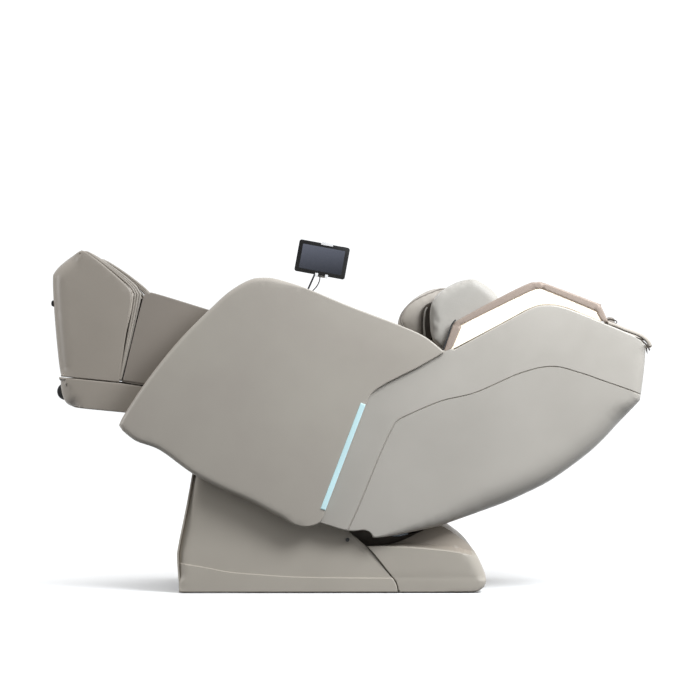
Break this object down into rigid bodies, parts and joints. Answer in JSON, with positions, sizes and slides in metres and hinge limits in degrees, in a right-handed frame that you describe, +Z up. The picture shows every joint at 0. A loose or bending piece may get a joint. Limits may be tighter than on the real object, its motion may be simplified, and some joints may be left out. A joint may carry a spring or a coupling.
{
  "type": "massage chair",
  "caption": "Reclining massage chair with tilting seat, powered back, folding leg rest with foot unit, massage carriage, lit side trims and a tablet on the arm.",
  "frame": {"origin": "on the floor under the middle of the whole chair", "axes": "+X from the feet to the head, +Y to the sitter's right, +Z up"},
  "size_m": [1.936, 0.76, 1.1718],
  "materials": {
    "shell_plastic": "satin moulded shell plastic with a fine grain",
    "pad_leather": "soft matt synthetic leather over foam",
    "wing_leather": "smooth synthetic leather over a moulded bolster",
    "frame_steel": "dark powder-coated sheet and tube",
    "bright_steel": "ground bright bar",
    "motor_black": "fine-grained black moulding",
    "pump_grey": "grey moulded housing",
    "black_rubber": "plain black rubber",
    "roller_plastic": "cream hard plastic",
    "sole_rubber": "firm grey rubber",
    "gear_brass": "machined",
    "champagne_trim": "satin rose-champagne anodised band",
    "warm_light": "opal diffuser, lit from behind",
    "cool_light": "frosted diffuser, lit from behind",
    "switch_red": "translucent red rocker",
    "holder_dark": "dark satin",
    "holder_silver": "silver-grey satin",
    "tablet_black": "black bezel and back",
    "cable_grey": "flexible sheath"
  },
  "bodies": {
    "base": {"base_pan": "frame_steel", "base_cover_left": "shell_plastic", "base_cover_right": "shell_plastic", "base_rear_cover": "shell_plastic", "screw_plugs": "motor_black", "feet": "black_rubber", "air_pump": "pump_grey", "power_supply": "pump_grey", "mains_inlet": "motor_black"},
    "rocker": {"power_switch": "switch_red"},
    "tilt_motor": {"tilt_motor": "motor_black"},
    "tilt_rod": {"tilt_rod": "bright_steel"},
    "seat": {"seat_frame": "frame_steel", "knee_shaft": "bright_steel", "seat_cushion": "pad_leather", "arm_shell_left": "shell_plastic", "arm_shell_right": "shell_plastic", "arm_core_left": "shell_plastic", "arm_core_right": "shell_plastic", "armrest_pad_left": "pad_leather", "armrest_pad_right": "pad_leather", "led_strips": "cool_light", "leg_motor": "motor_black"},
    "leg_rod": {"leg_rod": "bright_steel"},
    "back": {"back_shell": "shell_plastic", "back_frame": "frame_steel", "back_pad": "pad_leather", "head_pillow": "pad_leather", "pull_tabs": "pad_leather", "shoulder_wing_left": "wing_leather", "shoulder_wing_right": "wing_leather", "shoulder_pad_left": "pad_leather", "shoulder_pad_right": "pad_leather", "halo_trims": "champagne_trim", "light_panels": "warm_light"},
    "carriage": {"carriage": "frame_steel", "massage_motor": "motor_black"},
    "pinion": {"drive_pinion": "gear_brass"},
    "arm_l": {"massage_arm_left": "roller_plastic"},
    "arm_r": {"massage_arm_right": "roller_plastic"},
    "roller_ul": {"roller_upper_left": "roller_plastic"},
    "roller_ur": {"roller_upper_right": "roller_plastic"},
    "roller_ll": {"roller_lower_left": "roller_plastic"},
    "roller_lr": {"roller_lower_right": "roller_plastic"},
    "leg_rest": {"leg_frame": "frame_steel", "calf_shell": "shell_plastic", "calf_pads": "pad_leather"},
    "foot_unit": {"foot_shell": "shell_plastic", "foot_pads": "pad_leather", "foot_housing": "shell_plastic", "foot_slides": "bright_steel", "bumpers": "black_rubber"},
    "wheels": {"ottoman_wheels": "black_rubber"},
    "sole_rollers": {"sole_rollers": "sole_rubber"},
    "holder_post": {"holder_stalk": "holder_dark", "tablet_cable": "cable_grey"},
    "holder": {"holder_cradle": "holder_silver", "tablet": "tablet_black"},
    "jaw": {"holder_jaw": "holder_silver"},
    "button": {"tablet_button": "tablet_black"}
  },
  "joints": [
    {"name": "seat_tilt", "type": "hinge", "parent": "base", "child": "seat", "pos_m": [0.15, 0, 0.33], "axis": [0, -1, 0], "range_deg": [0, 24]},
    {"name": "back_recline", "type": "hinge", "parent": "seat", "child": "back", "pos_m": [0.1, 0, 0.42], "axis": [0, -1, 0], "range_deg": [0, 14]},
    {"name": "legrest_lift", "type": "hinge", "parent": "seat", "child": "leg_rest", "pos_m": [-0.47, 0, 0.79], "axis": [0, 1, 0], "range_deg": [-60, 10]},
    {"name": "foot_extension", "type": "slide", "parent": "leg_rest", "child": "foot_unit", "axis": [-0.9956, 0, 0.0941], "range_m": [0, 0.12]},
    {"name": "tilt_motor_swing", "type": "hinge", "parent": "base", "child": "tilt_motor", "pos_m": [-0.2, 0, 0.11], "axis": [0, -1, 0], "range_deg": [0, 12]},
    {"name": "tilt_rod_stroke", "type": "slide", "parent": "tilt_motor", "child": "tilt_rod", "axis": [0, 0, 1], "range_m": [-0.16, 0]},
    {"name": "leg_rod_stroke", "type": "slide", "parent": "seat", "child": "leg_rod", "axis": [-0.8342, 0, 0.5514], "range_m": [-0.12, 0.03]},
    {"name": "power_rocker", "type": "hinge", "parent": "base", "child": "rocker", "pos_m": [0.43, 0.1278, 0.044], "axis": [0, 1, 0], "range_deg": [-10, 0]},
    {"name": "carriage_travel", "type": "slide", "parent": "back", "child": "carriage", "axis": [0.8387, 0, 0.5446], "range_m": [-0.06, 0.36]},
    {"name": "pinion_turn", "type": "hinge", "parent": "carriage", "child": "pinion", "pos_m": [0.26034, 0, 0.51509], "axis": [0, 1, 0], "range_deg": [-1200, 1200]},
    {"name": "arm_rock_left", "type": "hinge", "parent": "carriage", "child": "arm_l", "pos_m": [0.23692, 0, 0.55115], "axis": [0, 1, 0], "range_deg": [-8, 8]},
    {"name": "arm_rock_right", "type": "hinge", "parent": "carriage", "child": "arm_r", "pos_m": [0.23692, 0, 0.55115], "axis": [0, 1, 0], "range_deg": [-8, 8]},
    {"name": "roller_ul_turn", "type": "hinge", "parent": "arm_l", "child": "roller_ul", "pos_m": [0.28142, 0, 0.58362], "axis": [0, 1, 0], "continuous": true},
    {"name": "roller_ur_turn", "type": "hinge", "parent": "arm_r", "child": "roller_ur", "pos_m": [0.28142, 0, 0.58362], "axis": [0, 1, 0], "continuous": true},
    {"name": "roller_ll_turn", "type": "hinge", "parent": "arm_l", "child": "roller_ll", "pos_m": [0.18916, 0, 0.52371], "axis": [0, 1, 0], "continuous": true},
    {"name": "roller_lr_turn", "type": "hinge", "parent": "arm_r", "child": "roller_lr", "pos_m": [0.18916, 0, 0.52371], "axis": [0, 1, 0], "continuous": true},
    {"name": "wheels_turn", "type": "hinge", "parent": "foot_unit", "child": "wheels", "pos_m": [-0.922, 0, 0.645], "axis": [0, 1, 0], "continuous": true},
    {"name": "sole_rollers_turn", "type": "hinge", "parent": "foot_unit", "child": "sole_rollers", "pos_m": [-0.908, 0, 0.85], "axis": [0, 1, 0], "continuous": true},
    {"name": "holder_swivel", "type": "hinge", "parent": "seat", "child": "holder_post", "pos_m": [-0.146, 0.366, 0.986], "axis": [0, 0, 1], "range_deg": [-60, 60]},
    {"name": "holder_tilt", "type": "hinge", "parent": "holder_post", "child": "holder", "pos_m": [-0.112, 0.366, 1.066], "axis": [1, 0, 0], "range_deg": [-20, 0]},
    {"name": "jaw_clamp", "type": "slide", "parent": "holder", "child": "jaw", "axis": [0.1805, 0, 0.9836], "range_m": [0, 0.02], "stiffness_N_per_m": 60, "springref_m": -0.02},
    {"name": "tablet_button_press", "type": "slide", "parent": "holder", "child": "button", "axis": [-0.1805, 0, -0.9836], "range_m": [0, 0.0006], "stiffness_N_per_m": 200}
  ],
  "couplings": [
    {"joint": "tilt_motor_swing", "follows": "seat_tilt", "ratio": 0.482},
    {"joint": "tilt_rod_stroke", "follows": "seat_tilt", "m_per_rad": -0.367},
    {"joint": "leg_rod_stroke", "follows": "legrest_lift", "m_per_rad": 0.102},
    {"joint": "pinion_turn", "follows": "carriage_travel", "rad_per_m": 55.556},
    {"joint": "arm_rock_right", "follows": "arm_rock_left", "ratio": -1}
  ]
}
